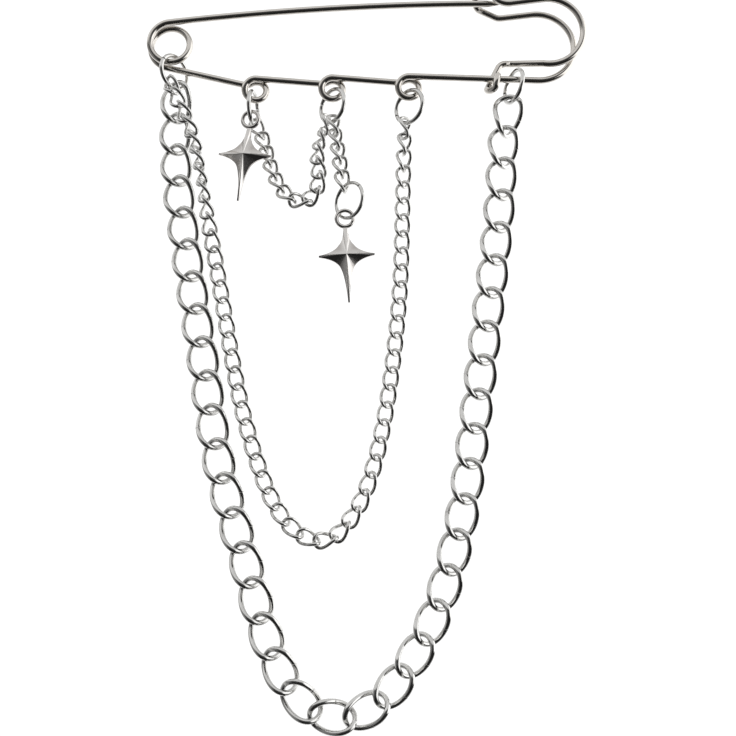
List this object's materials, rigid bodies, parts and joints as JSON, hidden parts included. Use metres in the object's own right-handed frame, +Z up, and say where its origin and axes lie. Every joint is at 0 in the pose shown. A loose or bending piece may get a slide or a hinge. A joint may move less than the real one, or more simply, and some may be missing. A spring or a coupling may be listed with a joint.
{
  "type": "lapel chain",
  "caption": "Safety-pin brooch of bent wire with a long and a shorter curb chain hung from it, a small swag and star charms on jump rings.",
  "frame": {"origin": "on the needle's centreline, in the middle of the stretch that goes through the cloth", "axes": "+X from the spring coil towards the head, +Z up, the front faces -Y, as it hangs on a lapel"},
  "size_m": [0.0749, 0.0073, 0.1229],
  "materials": {
    "pin_steel": "polished plated spring wire",
    "ring_steel": "polished steel wire",
    "chain_steel": "polished steel wire",
    "star_alloy": "cast alloy, plated, slightly matt facets"
  },
  "bodies": {
    "root": {"pin_wire": "pin_steel", "coil_ring": "ring_steel", "loop_ring_1": "ring_steel", "loop_ring_2": "ring_steel", "loop_ring_3": "ring_steel", "head_ring": "ring_steel", "long_chain": "chain_steel", "inner_chain": "chain_steel", "swag_chain": "chain_steel", "drop_chain": "chain_steel", "drop_ring": "ring_steel", "star_charm_1": "star_alloy", "star_charm_2": "star_alloy"}
  },
  "joints": []
}
